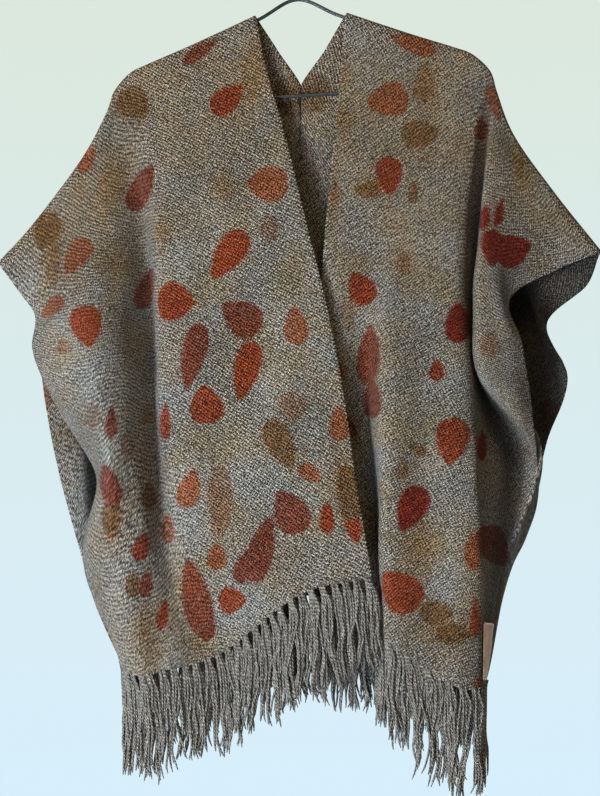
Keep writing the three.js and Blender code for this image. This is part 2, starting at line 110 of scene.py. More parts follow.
RIGHT_FRONT = [
    ("neck", 0, [46, 38, 28, 19, 4, -18, -44], [-8, -11, -15, -18, -20, -22, -26],
     [-165, -252, -353, -450, -548, -648, -743]),
    ("under", 30, [73, 65, 56, 47, 41, 32, 19], [-9, -12, -16, -18, -18, -16, -22],
     [-172, -259, -359, -456, -556, -660, -763]),
    ("groove", 60, [103, 95, 87, 77, 75, 83, 83], [-9, -13, -17, -14, -4, 2, -6],
     [-183, -268, -366, -464, -565, -672, -781]),
    ("ridge", 90, [128, 118, 108, 97, 93, 93, 96], [-10, -15, -22, -34, -46, -52, -52],
     [-190, -275, -374, -473, -573, -686, -807]),
    ("body", 124, [159, 150, 142, 137, 137, 138, 142], [-10, -16, -22, -32, -42, -50, -54],
     [-201, -287, -387, -486, -587, -702, -843]),
    ("side", 152, [185, 178, 173, 175, 180, 182, 177], [-11, -16, -20, -32, -44, -52, -56],
     [-213, -297, -397, -500, -603, -719, -859]),
    ("fold", 175, [200, 190, 184, 190, 195, 198, 197], [-10, -12, -12, -27, -42, -48, -50],
     [-227, -308, -411, -525, -625, -736, -862]),
    ("fold side", 181, [203, 193, 187, 193, 198, 202, 199], [-6, -5, -3, -16, -30, -38, -44],
     [-229, -310, -413, -527, -627, -738, -862]),
    ("gutter", 197, [213, 206, 201, 208, 254, 225, 201], [2, 16, 24, 24, 22, -6, -30],
     [-241, -322, -428, -524, -606, -744, -864]),
    ("flap", 247, [214, 204, 196, 201, 270, 226, 205], [-22, -32, -37, -36, -8, 2, -12],
     [-267, -350, -452, -518, -594, -748, -865]),
    ("wing", 327, [256, 224, 225, 238, 271, 232, 208], [-14, -28, -42, -42, 8, 14, 4],
     [-330, -389, -471, -552, -624, -756, -865]),
    ("selvedge", 420, [294, 234, 246, 261, 271, 235, 210], [-4, -18, -32, -26, 24, 28, 18],
     [-392, -429, -484, -576, -657, -759, -864]),
]
RIGHT_BACK = [
    ("neck", 0, [29, -5, 0, 0, 0, 0, 0], [7, 9, 13, 18, 22, 24, 24],
     [-143, -199, -291, -428, -565, -669, -763]),
    ("blade", 80, [116, 104, 94, 91, 89, 87, 85], [8, 12, 18, 26, 32, 36, 38],
     [-178, -225, -327, -462, -600, -704, -799]),
    ("body", 157, [193, 182, 173, 167, 163, 159, 154], [8, 12, 20, 30, 38, 42, 44],
     [-207, -257, -359, -496, -637, -742, -830]),
    ("valley", 197, [211, 202, 194, 189, 185, 179, 170], [9, 18, 28, 32, 30, 26, 26],
     [-235, -284, -386, -519, -655, -752, -837]),
    ("crest", 300, [259, 252, 245, 237, 229, 218, 199], [12, 26, 40, 54, 60, 62, 62],
     [-325, -363, -447, -570, -688, -777, -852]),
    ("turn", 370, [295, 271, 276, 266, 249, 226, 202], [8, 20, 32, 48, 54, 54, 52],
     [-385, -425, -487, -584, -694, -776, -850]),
    ("selvedge", 420, [327, 284, 303, 282, 258, 232, 206], [12, 34, 8, 30, 42, 44, 44],
     [-409, -453, -517, -594, -693, -771, -850]),
]
STATIONS = 7
SPANS = 2 * (STATIONS + 2)

# Soft ripples: height, and two sines: lengths across and along for one radian, and share of the phase
RIPPLES = [
    (1.1, (17, 150, 1), (math.inf, 61, 1)),
    (0.8, (9.5, -90, 2), (60, 34, 0)),
    (0.5, (31, 13, 1), (23, math.inf, 0)),
]
RIPPLE_PHASE = 1.7
RIPPLE_FADE = Named(down=(25, 120), across=(4, 30))

# Photo frame: its size, its middle, and the scale at the hanger, 1.9 m from the camera
PHOTO_WIDE, PHOTO_HIGH = 600, 796
PX_MM = 1.135
SIGHT = 1900.0
EYE = (-1.0, -SIGHT, -540.0)

# Leaf prints by dye: place, length and width in the photo's pixels, and the tip's way, clockwise from up
LEAVES_LEFT = {
    "dark": [(201, 51, 42, 14, 55), (142, 187, 52, 24, 25), (146, 288, 44, 20, 20), (241, 317, 46, 36, 305),
        (193, 358, 70, 25, 192), (110, 484, 43, 20, 345), (262, 548, 70, 27, 15), (250, 560, 52, 22, 30),
        (290, 511, 48, 36, 330), (196, 596, 80, 30, 348), (206, 622, 38, 20, 0), (146, 583, 30, 15, 10),
        (111, 422, 34, 12, 0)],
    "rust": [(228, 99, 40, 26, 50), (87, 327, 42, 32, 172), (177, 302, 36, 40, 95), (228, 256, 58, 30, 215),
        (246, 372, 62, 27, 193), (206, 404, 40, 34, 352), (327, 517, 33, 16, 0), (354, 529, 34, 17, 165),
        (141, 546, 29, 17, 15), (233, 600, 28, 27, 90), (163, 614, 32, 12, 10), (166, 421, 38, 11, 0)],
    "orange": [(88, 159, 30, 15, 28), (77, 257, 42, 24, 213), (53, 308, 30, 16, 225),
        (267, 184, 42, 37, 275), (296, 325, 40, 25, 355), (311, 474, 27, 17, 125), (339, 423, 37, 20, 0),
        (190, 488, 40, 24, 15), (168, 528, 32, 15, 0), (217, 556, 27, 21, 0)],
    "brown": [(131, 104, 34, 34, 250), (47, 232, 40, 27, 200), (281, 445, 54, 29, 155),
        (112, 522, 38, 20, 180), (148, 495, 27, 16, 0), (350, 503, 74, 24, 175), (133, 584, 27, 15, 0)],
    "faint": [(270, 231, 32, 19, 180), (293, 407, 30, 30, 180), (220, 505, 78, 25, 180),
        (94, 414, 28, 15, 0), (127, 445, 32, 15, 0), (147, 415, 20, 14, 0), (55, 262, 44, 14, 5),
        (64, 346, 16, 15, 0)],
}
LEAVES_RIGHT = {
    "wine": [(485, 217, 26, 11, 10), (499, 212, 30, 10, 12), (513, 250, 38, 34, 70),
        (492, 249, 38, 21, 180), (457, 322, 42, 25, 0), (411, 509, 50, 31, 205), (481, 445, 32, 11, 0)],
    "dark": [(481, 128, 24, 15, 0), (369, 353, 60, 25, 5), (373, 397, 42, 19, 0), (350, 428, 28, 11, 150),
        (493, 547, 46, 32, 150)],
    "rust": [(389, 177, 40, 27, 178), (361, 288, 36, 28, 330), (339, 371, 22, 9, 150),
        (437, 370, 22, 17, 0), (452, 442, 48, 34, 188), (400, 590, 48, 40, 320), (475, 616, 42, 11, 0)],
    "orange": [(387, 100, 42, 35, 262), (412, 44, 48, 19, 290), (494, 104, 38, 13, 165),
        (472, 550, 40, 16, 0), (478, 685, 18, 11, 0)],
    "brown": [(421, 134, 40, 28, 85), (367, 190, 28, 17, 270), (413, 192, 24, 12, 5),
        (417, 449, 22, 11, 290), (437, 612, 34, 24, 90), (455, 634, 40, 20, 90)],
    "faint": [(424, 84, 34, 24, 0), (335, 190, 24, 13, 0), (490, 343, 28, 19, 0), (348, 318, 36, 15, 170),
        (404, 262, 26, 14, 0), (402, 468, 22, 14, 0)],
}
# Soft ochre stains, and in the last two, broadest entries of each list broad ochre tints that make the
# upper front warmer: place, width and height in the photo's pixels, and strength
STAINS_LEFT = [
    (108, 190, 32, 56, 0.9), (128, 104, 44, 40, 0.6), (224, 186, 26, 36, 0.8), (255, 58, 26, 60, 0.9),
    (53, 262, 24, 50, 0.7), (163, 232, 16, 50, 0.6), (220, 505, 30, 84, 0.5), (143, 630, 32, 60, 0.9),
    (192, 645, 40, 40, 0.7), (262, 560, 50, 60, 0.4), (350, 500, 30, 90, 0.5), (293, 410, 34, 30, 0.5),
    (245, 92, 30, 24, 0.6), (47, 235, 36, 44, 0.5), (112, 260, 30, 60, 0.45), (240, 330, 50, 40, 0.4),
    (205, 62, 90, 30, 0.4), (175, 375, 20, 40, 0.4), (290, 265, 30, 40, 0.25), (340, 470, 24, 60, 0.6),
    (180, 570, 16, 50, 0.4), (112, 540, 24, 30, 0.5), (190, 120, 210, 190, 0.45), (70, 230, 90, 120, 0.35),
]
STAINS_RIGHT = [
    (345, 120, 28, 34, 0.9), (332, 205, 18, 70, 0.7), (360, 262, 30, 24, 0.6), (420, 545, 34, 80, 0.9),
    (445, 628, 60, 46, 1.0), (425, 88, 30, 50, 0.6), (404, 262, 30, 40, 0.6), (490, 350, 30, 40, 0.5),
    (395, 160, 70, 30, 0.3), (372, 380, 30, 90, 0.5), (492, 470, 30, 40, 0.5), (520, 165, 24, 40, 0.8),
    (425, 45, 50, 30, 0.5), (465, 150, 30, 40, 0.4), (345, 70, 20, 50, 0.6), (405, 465, 30, 40, 0.5),
    (470, 590, 30, 60, 0.5), (500, 620, 20, 50, 0.3), (540, 215, 50, 40, 0.25), (420, 140, 200, 210, 0.45),
    (560, 220, 80, 90, 0.3),
]
# Stains and a print inside the neck: width across and length down from the shoulder, then as above
STAINS_NECK = [(12, 100, 70, 70, 1.0), (20, 45, 40, 50, 0.7), (6, 190, 40, 80, 0.6)]
LEAF_NECK = {"brown": (10, 102, 46, 44, 170)}
# Prints laid by chance on the backs, in rows down from the shoulder, and the stains beside some
BY_CHANCE = Named(rows=11, columns=4, first=(25, 20), pitch=(95, 58), within=(0.1, 0.9), turn=50,
                  long=(30, 70), wide=(16, 38), roundest=0.8)
BESIDE = Named(share=0.5, across=14, down=18, wide=36, high=56, amount=0.8)
# How far in depth from its middle a print and a stain reach over the folds
LEAF_DEPTH = 34.0
STAIN_DEPTH = 60.0
# A leaf's width along its length: the powers that shape its tip and base, and the widest value they give
LEAF_SHAPE = Named(tip=0.8, base=0.42, peak=0.452)
# The edge distance where there is no print, and the share of a print that shows on the inside
NO_PRINT = -20.0
SOAKS_THROUGH = 0.6
# What picks a print's place in the view: the front only, and the nearer fold of two
FRONT_FROM = -2.0
OFF_THE_FRONT = 1e6
NEARER_FIRST = 0.15
# How strongly each dye takes, and its place in the row of dye colours
DYES = dict(wine=(0.0, 1.0), dark=(0.3, 0.9), rust=(0.5, 1.0), orange=(0.72, 0.85), brown=(1.0, 0.85),
            faint=(0.9, 0.5))
# Painted shade on the cloth inside the right wing and in the gutter: amount, where it comes in and ends,
# and spread
WING_SHADE = Named(amount=0.66, across=(235, 330), top=(0, 12), end=(240, 420))
GUTTER_SHADE = Named(amount=0.6, mark=192, down=(200, 400, 520, 640, 760), spread=(13, 13, 24, 34, 20),
               top=(60, 200), end=(640, 760))


# Curves and surfaces
class Spline:
    """Centripetal Catmull-Rom curve through points, read at places from 0 to 1."""

    def __init__(self, points):
        p = np.asarray(points, float)
        self.last = len(p) - 1
        self.p = np.vstack([2 * p[0] - p[1], p, 2 * p[-1] - p[-2]])
        gaps = norm(np.diff(self.p, axis=0), axis=1) ** 0.5
        self.gaps = np.maximum(gaps, 1e-4)

    def at(self, place):
        x = np.clip(np.atleast_1d(place), 0, 1) * self.last
        i = np.minimum(x.astype(int), self.last - 1)
        w = (x - i)[:, None]
        p0, p1, p2, p3 = (self.p[i + k] for k in range(4))
        d0, d1, d2 = (self.gaps[i + k][:, None] for k in range(3))
        t1 = ((p1 - p0) / d0 - (p2 - p0) / (d0 + d1) + (p2 - p1) / d1) * d1
        t2 = ((p2 - p1) / d1 - (p3 - p1) / (d1 + d2) + (p3 - p2) / d2) * d1
        return p1 + t1 * w + (3 * (p2 - p1) - 2 * t1 - t2) * w**2 + (2 * (p1 - p2) + t1 + t2) * w**3


def place_among(marks, across):
    """Where places across the width fall among a table's marks, from 0 to 1."""
    return np.interp(across, marks, np.linspace(0, 1, len(marks)))


def smooth(value, low, high):
    """A soft step from 0 at low to 1 at high."""
    t = np.clip((value - low) / (high - low), 0, 1)
    return t * t * (3 - 2 * t)


def tilted(out, down):
    """A place on the hanger, given out and down from its apex, with the hanger's slight tilt."""
    angle = math.radians(HANGER.tilt)
    x = out * math.cos(angle) + down * math.sin(angle) + HANGER.apex_x
    return (x, 0.0, out * math.sin(angle) - down * math.cos(angle) + HANGER.apex_z)


right_side = [tilted(out, down) for out, down in HANGER_OUTLINE[1:]]
left_side = [tilted(-out, down) for out, down in HANGER_OUTLINE[1:]]
frame_loop = Spline(left_side[::-1] + [tilted(0, 0)] + right_side)


def fold_on_arm(side):
    """The shoulder fold over an arm, as (across, x, z), just clear of the wire."""
    wire = frame_loop.at(np.linspace(0, 1, ON_ARM.wire_points))
    lowest = HANGER.apex_z - HANGER.shoulder_drop
    rising = (np.diff(wire[:, 0]) > 0) & (wire[1:, 2] > lowest)
    fold = []
    for x in side * np.linspace(ON_ARM.start, ON_ARM.end, ON_ARM.points):
        k = int(np.argmax(rising & (wire[1:, 0] >= x)))
        a, b = wire[k], wire[k + 1]
        slope = (b[2] - a[2]) / (b[0] - a[0])
        rise = (WIRE.radius + WIRE.clearance + SOLID_WALL / 2) * math.hypot(1, slope)
        z = a[2] + (x - a[0]) * slope + rise
        across = fold[-1][0] + math.hypot(x - fold[-1][1], z - fold[-1][2]) if fold else 0.0
        fold.append((across, x, z))
    return fold


def station(row, k):
    """The point of a fold line at one of its stations."""
    _, _, x, y, z = row
    return x[k], y[k], z[k]


class Length:
    """One woven length: a grid of points from the front hem over the shoulder to the back hem."""

    def __init__(self, side, droop, front, back):
        self.side = side
        self.marks = self.columns(front)
        fold = fold_on_arm(side) + list(droop)
        places = place_among([across for across, _, _ in fold], self.marks)
        ridge = Spline([(x, 0, z) for _, x, z in fold]).at(places)
        radius = FOLD_ROUND.radius + FOLD_ROUND.opening * smooth(self.marks, *FOLD_ROUND.across)
        to_front = self.fall(self.half(front), ridge, radius, -1)
        to_back = self.fall(self.half(back), ridge, radius, 1)
        self.steps = self.row_steps()
        grid = np.zeros((len(self.steps), len(self.marks), 3))
        for c in range(len(self.marks)):
            line = [p[c] for p in to_front[::-1]] + [ridge[c]] + [p[c] for p in to_back]
            grid[:, c] = Spline(line).at(self.steps)
        over = (grid[..., 1] > 0) & (side * grid[..., 0] < SEAM_REACH)
        grid[..., 0] = np.where(over, side * SEAM_REACH, grid[..., 0])
        self.ridge_row = int(np.argmin(np.abs(self.steps - 0.5)))
        self.grid = grid
        self.measure()
        self.ripple()
        self.normals = normals_of(self.grid)
        self.measure()

    def columns(self, front):
        """Places across the width that leave no gap above EVEN_STEP on the front, at any station."""
        spots = []
        for a, b in zip(front[:-1], front[1:]):
            gap = max(math.dist(station(a, k), station(b, k)) for k in range(STATIONS))
            spots.extend(np.linspace(a[1], b[1], int(math.ceil(gap / EVEN_STEP)), endpoint=False))
        return np.array(spots + [front[-1][1]])

    def half(self, table):
        """The front's or the back's stations, each as a row of points across the width."""
        places = place_among([row[1] for row in table], self.marks)
        return [Spline([station(row, k) for row in table]).at(places) for k in range(STATIONS)]

    def fall(self, half, ridge, radius, way):
        """A half with the round of the shoulder fold before it, towards the front or the back."""
        away = (half[0] - ridge) * (1, 0, 1)
        away /= norm(away, axis=1)[:, None]
        turned = []
        for angle in (math.pi / 4, math.pi / 2):
            lift = (radius * (1 - math.cos(angle)))[:, None]
            out = np.outer(radius * way * math.sin(angle), (0, 1, 0))
            turned.append(ridge + away * lift + out)
        return turned + half

    def row_steps(self):
        """The grid's rows as places from 0 at the front hem to 1 at the back hem."""
        steps = []
        for span in range(SPANS):
            on_turn = STATIONS <= span < SPANS - STATIONS
            beside = span in (STATIONS - 1, SPANS - STATIONS)
            parts = ROWS.turn if on_turn else ROWS.beside if beside else ROWS.fall
            steps.extend((span + np.arange(parts) / parts) / SPANS)
        return np.array(steps + [1.0])

    def measure(self):
        """Width from the neck edge and length from the shoulder fold, along the cloth."""
        across = norm(np.diff(self.grid, axis=1), axis=2)
        self.u = np.pad(np.cumsum(across, axis=1), ((0, 0), (1, 0)))
        along = norm(np.diff(self.grid, axis=0), axis=2)
        run = np.pad(np.cumsum(along, axis=0), ((1, 0), (0, 0)))
        self.v = run - run[self.ridge_row]

    def ripple(self):
        """Soft unevenness of hanging cloth, less at the shoulder and the seam."""
        wave = 0
        for height, *sines in RIPPLES:
            term = height
            for across, along, share in sines:
                term = term * np.sin(self.u / across + self.v / along + share * self.side * RIPPLE_PHASE)
            wave = wave + term
        keep = smooth(np.abs(self.v), *RIPPLE_FADE.down) * smooth(self.u, *RIPPLE_FADE.across)
        self.grid = self.grid + normals_of(self.grid) * (wave * keep)[..., None]


def normals_of(grid):
    """Unit normals at a grid's points, from their neighbours."""
    padded = np.pad(grid, ((1, 1), (1, 1), (0, 0)), mode="edge")
    lengthwise = padded[2:, 1:-1] - padded[:-2, 1:-1]
    crosswise = padded[1:-1, 2:] - padded[1:-1, :-2]
    normal = np.cross(lengthwise, crosswise)
    return normal / np.maximum(norm(normal, axis=2), TINY)[..., None]


# Meshes
# How far a wall's rim bulges out, in thicknesses, and a direction that no tube's path follows
RIM_BULGE = 0.42
ASIDE = (0.0, 1.0, 0.02)


def add_object(name, data):
    """An object in the scene, made of a mesh, a light or a camera."""
    made = bpy.data.objects.new(name, data)
    bpy.context.scene.collection.objects.link(made)
    return made


def make_mesh(name, points, faces, material, uvs=None, smooth_faces=True):
    mesh = bpy.data.meshes.new(name)
    mesh.from_pydata((np.asarray(points) * MM).tolist(), [], list(faces))
    mesh.update()
    if uvs is not None:
        layer = mesh.uv_layers.new(name="UVMap")
        loops = np.zeros(len(mesh.loops), dtype=np.int32)
        mesh.loops.foreach_get("vertex_index", loops)
        layer.data.foreach_set("uv", (np.asarray(uvs)[loops] * MM).astype(np.float32).ravel())
    if smooth_faces:
        mesh.shade_smooth()
    mesh.materials.append(material)
    return add_object(name, mesh)


def add_attribute(piece, name, values):
    attribute = piece.data.attributes.new(name, "FLOAT", "POINT")
    attribute.data.foreach_set("value", np.asarray(values, np.float32).ravel())


def shell(grid, normals, thickness, lift=0.0):
    """Points and faces of a wall with a rounded rim, and each point's place in the grid."""
    rows, columns = grid.shape[:2]
    index = np.arange(rows * columns).reshape(rows, columns)
    mid = grid + normals * lift
    half = normals * thickness / 2
    outer, inner = (mid + half).reshape(-1, 3), (mid - half).reshape(-1, 3)
    rim = np.concatenate([index[0, :], index[1:, -1], index[-1, -2::-1], index[-2:0:-1, 0]])
    centre = mid.reshape(-1, 3)[rim]
    inward = np.concatenate([
        mid[1, :] - mid[0, :], mid[1:, -2] - mid[1:, -1],
        (mid[-2] - mid[-1])[-2::-1], (mid[:, 1] - mid[:, 0])[-2:0:-1]])
    inward /= np.maximum(norm(inward, axis=1), TINY)[:, None]
    bulge = centre - inward * thickness * RIM_BULGE
    total = rows * columns
    points = np.vstack([outer, inner, bulge])
    a, b, c, d = index[:-1, :-1], index[1:, :-1], index[1:, 1:], index[:-1, 1:]
    top = np.stack([a, b, c, d], -1).reshape(-1, 4)
    under = np.stack([a, d, c, b], -1).reshape(-1, 4) + total
    n = len(rim)
    now, after = np.arange(n), (np.arange(n) + 1) % n
    ring = 2 * total + now, 2 * total + after
    side_top = np.stack([rim[now], rim[after], ring[1], ring[0]], -1)
    side_under = np.stack([ring[0], ring[1], rim[after] + total, rim[now] + total], -1)
    source = np.concatenate([np.arange(total), np.arange(total), rim])
    return points, np.vstack([top, under, side_top, side_under]), source


def tube(path, radii, sides):
    """Points and faces of a closed round tube along a path."""
    path = np.asarray(path, float)
    ahead = np.gradient(path, axis=0)
    ahead /= np.maximum(norm(ahead, axis=1), TINY)[:, None]
    across = np.cross(ahead, ASIDE)
    across /= np.maximum(norm(across, axis=1), TINY)[:, None]
    other = np.cross(ahead, across)
    angle = np.arange(sides) / sides * 2 * math.pi
    radii = np.broadcast_to(radii, len(path))[:, None, None]
    ring = across[:, None] * np.cos(angle)[None, :, None] + other[:, None] * np.sin(angle)[None, :, None]
    points = (path[:, None] + ring * radii).reshape(-1, 3)
    index = np.arange(len(path) * sides).reshape(len(path), sides)
    after = np.roll(index, -1, axis=1)
    faces = np.stack([index[:-1], after[:-1], after[1:], index[1:]], -1).reshape(-1, 4)
    caps = [index[0][::-1].tolist(), index[-1].tolist()]
    return points, faces.tolist() + caps


def joined_tubes(tubes):
    """Several tubes as the points and faces of one mesh."""
    points, faces, base = [], [], 0
    for more, quads in tubes:
        points.append(more)
        faces.extend([[i + base for i in face] for face in quads])
        base += len(more)
    return np.vstack(points), faces


# Materials
class Nodes:
    """Short calls for building a material's nodes."""

    def __init__(self, name):
        self.material = bpy.data.materials.new(name)
        self.material.use_nodes = True
        self.tree = self.material.node_tree
        self.shader = self.tree.nodes["Principled BSDF"]

    def new(self, kind, **values):
        node = self.tree.nodes.new("ShaderNode" + kind)
        for key, value in values.items():
            if key in node.inputs:
                self.put(node.inputs[key], value)
            else:
                setattr(node, key, value)
        return node

    def put(self, socket, value):
        if isinstance(value, bpy.types.NodeSocket):
            self.tree.links.new(value, socket)
        else:
            socket.default_value = value

    def math(self, operation, a, b=0.0, c=0.0):
        node = self.new("Math", operation=operation)
        for socket, value in zip(node.inputs, (a, b, c)):
            self.put(socket, value)
        return node.outputs[0]

    def times(self, a, b):
        return self.math("MULTIPLY", a, b)

    def add_times(self, value, amount, base):
        return self.math("MULTIPLY_ADD", value, amount, base)

    def mix(self, factor, a, b):
        node = self.new("Mix", data_type="RGBA")
        for socket, value in zip((node.inputs[0], node.inputs[6], node.inputs[7]), (factor, a, b)):
            self.put(socket, value)
        return node.outputs[2]

    def mix_multiply(self, a, b):
        colour = self.mix(1.0, a, b)
        colour.node.blend_type = "MULTIPLY"
        return colour

    def noise(self, vector, scale, detail=2.0, roughness=0.5):
        node = self.new("TexNoise", Vector=vector, Scale=scale, Detail=detail, Roughness=roughness)
        return node.outputs["Fac"]

    def ramp(self, value, stops):
        node = self.new("ValToRGB")
        self.put(node.inputs[0], value)
        elements = node.color_ramp.elements
        while len(elements) < len(stops):
            elements.new(0.5)
        for element, (place, colour) in zip(elements, stops):
            element.position = place
            element.color = (*colour, 1)
        return node.outputs[0]

    def attribute(self, name):
        return self.new("Attribute", attribute_name=name).outputs["Fac"]

    def bump(self, height, strength, distance):
        node = self.new("Bump", Height=height, Strength=strength, Distance=distance)
        self.put(self.shader.inputs["Normal"], node.outputs[0])

    def finish(self, colour, values):
        for name, value in {"Base Color": colour, **values}.items():
            self.put(self.shader.inputs[name], value)


YARN_DARK = (0.022, 0.018, 0.013)
YARN_MID = (0.150, 0.130, 0.096)
YARN_LIGHT = (0.47, 0.42, 0.34)
WOOL_FINISH = {"Roughness": 0.93, "Specular IOR Level": 0.15, "Sheen Weight": 0.05, "Sheen Roughness": 0.5}
# The weave's repeats and how far its yarns wander, in metres, and how high the crossings and ribs stand
WEAVE = Named(warp=0.0043, weft=0.0045, wander=0.003, crossing=0.75, rib=0.55)
# Streaks of fibre on the yarns that lie under and over: turn in radians, and scale across and along
STREAKS_UNDER = (0.6, (330, 800, 1))
STREAKS_OVER = (-0.5, (800, 300, 1))
# How much each thing shifts the wool's tone
TONE = Named(streaks=2.9, weave=0.17, fine=0.5, broad=0.3, ply=0.10, yarn_fine=0.7)
# The wool's broad drift from warm to cool, and the colours that dye it
HUES = [(0.35, (1.0, 0.88, 0.68)), (0.5, (0.98, 0.95, 0.88)), (0.65, (0.93, 0.97, 1.0))]
LEAF_DYES = [(0.0, (0.70, 0.065, 0.004)), (0.3, (0.66, 0.14, 0.04)), (0.5, (0.93, 0.20, 0.05)),
             (0.72, (0.97, 0.29, 0.07)), (1.0, (0.62, 0.33, 0.11))]
UNDYED = (1, 1, 1, 1)
OCHRE = (0.88, 0.56, 0.22, 1)
# Near-black colour of the painted shade inside the right wing and in the right gutter
PAINTED_SHADE_COLOUR = (0.02, 0.017, 0.014, 1)
# A print's ragged edge: how far it strays, and between which distances from the edge the dye comes in
LEAF_EDGE = Named(stray=8.0, low=-1.6, high=2.2)
# The plies that a yarn's twist shows, for each metre of its map's width and of its length
YARN_TWIST = (2000.0, 1 / 0.0042)


def melange(n, tone):
    """The mottled natural wool, from its darkest to its lightest fibres."""
    return n.ramp(tone, [(0.2, YARN_DARK), (0.5, YARN_MID), (0.8, YARN_LIGHT)])


def around_half(n, value, amount, base):
    """Adds an amount of a noise, from its middle, to a base."""
    return n.add_times(n.math("SUBTRACT", value, 0.5), amount, base)


def woven(n, uv):
    """Height of the woven yarns, about -1.3 to 1.3."""
    split = n.new("SeparateXYZ", Vector=uv)
    wobble = n.noise(uv, 90.0, 2.0)
    u = n.add_times(wobble, WEAVE.wander, split.outputs[0])
    v = n.add_times(wobble, -WEAVE.wander, split.outputs[1])
    warp_turn, weft_turn = 2 * math.pi / WEAVE.warp, 2 * math.pi / WEAVE.weft
    warp = n.math("SINE", n.times(u, warp_turn))
    weft = n.math("SINE", n.times(v, weft_turn))
    # Floats that step sideways from row to row give slanted ticks and soft ribs
    step = n.math("ADD", n.times(u, warp_turn), n.times(v, -weft_turn))
    rib = n.times(n.math("SINE", step), WEAVE.rib)
    return n.add_times(n.times(warp, weft), WEAVE.crossing, rib)


def streaks(n, uv, weave):
    """Light and dark fibres that run along whichever yarn lies on top."""
    sides = []
    for turn, scale in (STREAKS_UNDER, STREAKS_OVER):
        laid = n.new("Mapping", Vector=uv, Rotation=(0, 0, turn), Scale=scale).outputs[0]
        sides.append(n.noise(laid, 1.0, 2.0, 0.6))
    choice = n.new("Mix", data_type="FLOAT")
    values = (n.math("GREATER_THAN", weave, 0.0), *sides)
    for socket, value in zip((choice.inputs[0], choice.inputs[2], choice.inputs[3]), values):
        n.put(socket, value)
    return choice.outputs[0]


def dyes_and_painted_shade(n, uv):
    """What prints, stains and painted shade multiply the wool's colour by."""
    ragged = around_half(n, n.noise(uv, 240.0, 3.0, 0.7), LEAF_EDGE.stray, n.attribute("leaf_edge"))
    within = n.new("MapRange", Value=ragged)
    within.inputs["From Min"].default_value = LEAF_EDGE.low
    within.inputs["From Max"].default_value = LEAF_EDGE.high
    patchy = n.noise(uv, 120.0, 3.0, 0.6)
    leaf = n.times(within.outputs[0], n.attribute("leaf_strength"))
    leaf = n.times(leaf, n.add_times(patchy, 0.6, 0.66))
    stain = n.times(n.attribute("stain"), n.add_times(patchy, 1.3, 0.05))
    tint = n.mix(n.math("MINIMUM", stain, 0.9), UNDYED, OCHRE)
    tint = n.mix(n.math("MINIMUM", leaf, 0.97), tint, n.ramp(n.attribute("leaf_dye"), LEAF_DYES))
    # Painted shade: darkens the colour towards near black inside the right wing and in the right gutter
    return n.mix(n.attribute("painted_shade"), tint, PAINTED_SHADE_COLOUR)


def wool_cloth():
    """Weave of mottled yarns with leaf prints and ochre stains."""
    n = Nodes("wool_cloth")
    uv = n.new("UVMap", uv_map="UVMap").outputs[0]
    weave = woven(n, uv)
    fibre = streaks(n, uv, weave)
    fine, broad = n.noise(uv, 1500.0, 2.0, 0.8), n.noise(uv, 11.0, 3.0)
    tone = around_half(n, fibre, TONE.streaks, 0.5)
    tone = n.add_times(weave, TONE.weave, tone)
    tone = around_half(n, fine, TONE.fine, tone)
    tone = around_half(n, broad, TONE.broad, tone)
    wool = n.mix_multiply(melange(n, tone), n.ramp(n.noise(uv, 17.0, 4.0, 0.6), HUES))
    n.finish(n.mix_multiply(wool, dyes_and_painted_shade(n, uv)), WOOL_FINISH)
    height = n.add_times(fibre, 1.2, weave)
    n.bump(n.add_times(fine, 0.6, height), 0.9, 0.001)
    return n.material


def wool_yarn():
    """Loose ends of the same mottled yarn, with the slanted marks of its twist."""
    n = Nodes("wool_yarn")
    uv = n.new("UVMap", uv_map="UVMap").outputs[0]
    split = n.new("SeparateXYZ", Vector=uv)
    turns = [n.times(way, 2 * math.pi * plies) for way, plies in zip(split.outputs, YARN_TWIST)]
    ply = n.math("SINE", n.math("ADD", *turns))
    where = n.new("TexCoord").outputs["Object"]
    fleck, fine = n.noise(where, 420.0, 3.0, 0.75), n.noise(where, 1700.0, 2.0, 0.7)
    tone = n.add_times(ply, TONE.ply, fleck)
    n.finish(melange(n, around_half(n, fine, TONE.yarn_fine, tone)), WOOL_FINISH)
    n.bump(n.add_times(fine, 0.6, ply), 0.8, 0.0005)
    return n.material


def leather():
    """Natural leather, slightly darker at its pores and in soft clouds."""
    n = Nodes("leather_tab")
    where = n.new("TexCoord").outputs["Object"]
    pores = n.new("TexVoronoi", Vector=where, Scale=1500.0).outputs["Distance"]
    cloud = n.noise(where, 90.0, 4.0)
    tone = n.add_times(pores, 0.35, n.times(cloud, 0.8))
    tan = [(0.25, (0.36, 0.20, 0.12)), (0.5, (0.56, 0.36, 0.24)), (0.8, (0.66, 0.46, 0.33))]
    n.finish(n.ramp(tone, tan), {"Roughness": n.add_times(cloud, 0.25, 0.42)})
    n.bump(pores, 0.5, 0.0002)
    return n.material


def coated_wire():
    """Dark plastic coating over steel wire, with faint runs."""
    n = Nodes("coated_wire")
    cloud = n.noise(n.new("TexCoord").outputs["Object"], 240.0, 3.0)
    dark = n.ramp(cloud, [(0.3, (0.012, 0.017, 0.016)), (0.7, (0.03, 0.04, 0.037))])
    n.finish(dark, {"Roughness": n.add_times(cloud, 0.25, 0.25), "Coat Weight": 0.3})
    n.bump(cloud, 0.25, 0.0003)
    return n.material


# Prints
def photo_place(points):
    """Where points show in the photo, in its pixels."""
    depth = SIGHT + points[..., 1]
    scale = SIGHT / depth / PX_MM
    across = PHOTO_WIDE / 2 + (points[..., 0] - EYE[0]) * scale
    down = PHOTO_HIGH / 2 - (points[..., 2] - EYE[2]) * scale
    return across, down


